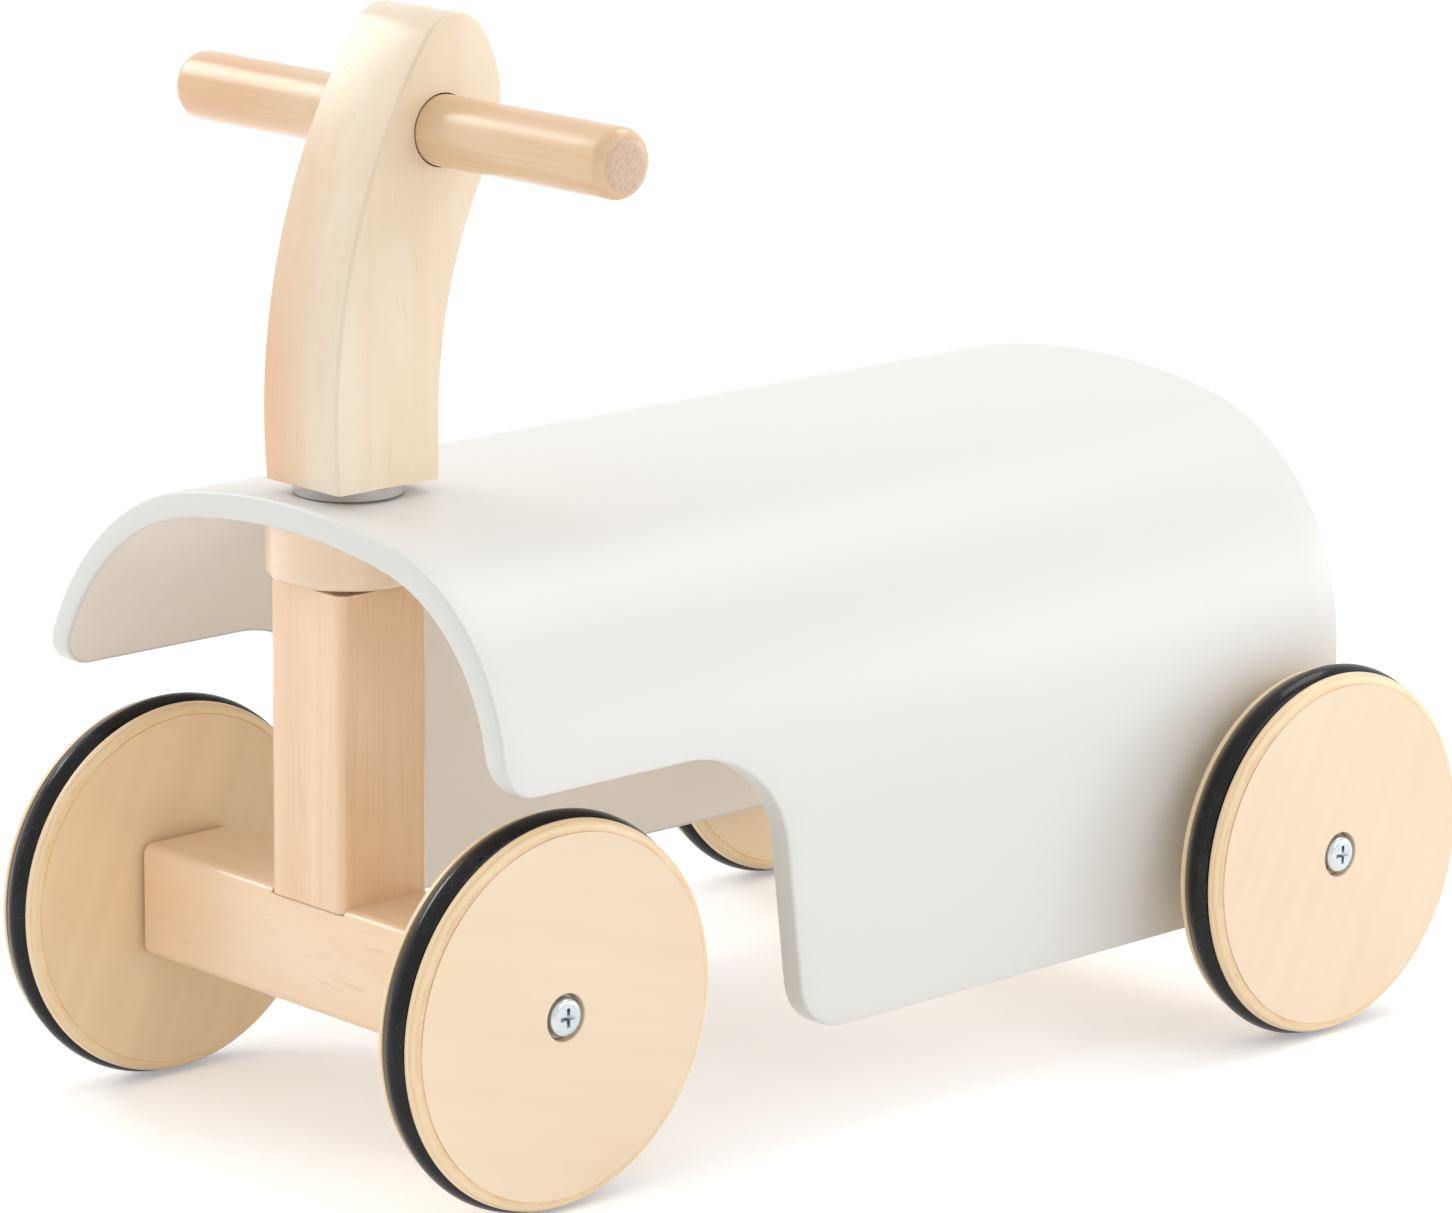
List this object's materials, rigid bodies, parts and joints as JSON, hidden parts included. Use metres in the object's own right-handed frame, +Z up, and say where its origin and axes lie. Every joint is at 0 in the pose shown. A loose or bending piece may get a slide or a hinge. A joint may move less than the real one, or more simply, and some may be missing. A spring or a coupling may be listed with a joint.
{
  "type": "balance bike",
  "caption": "Toddler's balance bike with a bent plywood body, a steered wooden column with a dowel handlebar, and wooden disc wheels with rubber rings.",
  "frame": {"origin": "on the ground, midway between the front and rear axles and midway between the left and right wheels", "axes": "+Z up, -Y towards the front of the bike, +X towards the rider's left"},
  "size_m": [0.3134, 0.4934, 0.4013],
  "materials": {
    "white_plywood": "satin warm white lacquer",
    "stem_wood": "clear satin lacquer on pale maple",
    "post_wood": "clear satin lacquer on peach-toned maple",
    "beam_wood": "clear satin lacquer on peach-toned maple",
    "collar_wood": "clear satin lacquer",
    "dowel_wood": "clear satin lacquer on golden beech",
    "wheel_plywood": "clear satin lacquer on birch plywood",
    "black_rubber": "glossy black",
    "nylon": "natural",
    "clear_plastic": "clear, slightly grey",
    "pale_washer": "off-white",
    "zinc_steel": "bright zinc plated"
  },
  "bodies": {
    "body": {"shell": "white_plywood", "collar": "collar_wood", "collar_screws": "zinc_steel", "steering_bush": "nylon", "clear_washer": "clear_plastic", "rear_axle_beam": "beam_wood", "rear_beam_screws": "zinc_steel", "rear_axle_inserts": "zinc_steel", "rear_axle_screws": "zinc_steel", "rear_head_washers": "pale_washer", "rear_spacers": "nylon"},
    "column": {"stem": "stem_wood", "handlebar": "dowel_wood", "handlebar_screw": "zinc_steel", "stem_insert": "zinc_steel", "post": "post_wood", "post_dowels": "dowel_wood", "stop_pins": "zinc_steel", "front_axle_beam": "beam_wood", "steering_bolt": "zinc_steel", "steering_bolt_washer": "zinc_steel", "front_axle_inserts": "zinc_steel", "front_axle_screws": "zinc_steel", "front_head_washers": "pale_washer", "front_spacers": "nylon"},
    "wheel_front_left": {"wheel_front_left": "wheel_plywood", "tyre_front_left": "black_rubber", "bush_front_left": "nylon"},
    "wheel_front_right": {"wheel_front_right": "wheel_plywood", "tyre_front_right": "black_rubber", "bush_front_right": "nylon"},
    "wheel_rear_left": {"wheel_rear_left": "wheel_plywood", "tyre_rear_left": "black_rubber", "bush_rear_left": "nylon"},
    "wheel_rear_right": {"wheel_rear_right": "wheel_plywood", "tyre_rear_right": "black_rubber", "bush_rear_right": "nylon"}
  },
  "joints": [
    {"name": "steering", "type": "hinge", "parent": "body", "child": "column", "pos_m": [0, -0.176, 0.235], "axis": [0, 0, 1], "range_deg": [-40, 40]},
    {"name": "wheel_front_left_spin", "type": "hinge", "parent": "column", "child": "wheel_front_left", "pos_m": [0.10405, -0.176, 0.07075], "axis": [1, 0, 0], "continuous": true},
    {"name": "wheel_front_right_spin", "type": "hinge", "parent": "column", "child": "wheel_front_right", "pos_m": [-0.10405, -0.176, 0.07075], "axis": [1, 0, 0], "continuous": true},
    {"name": "wheel_rear_left_spin", "type": "hinge", "parent": "body", "child": "wheel_rear_left", "pos_m": [0.14564, 0.176, 0.07075], "axis": [1, 0, 0], "continuous": true},
    {"name": "wheel_rear_right_spin", "type": "hinge", "parent": "body", "child": "wheel_rear_right", "pos_m": [-0.14564, 0.176, 0.07075], "axis": [1, 0, 0], "continuous": true}
  ]
}
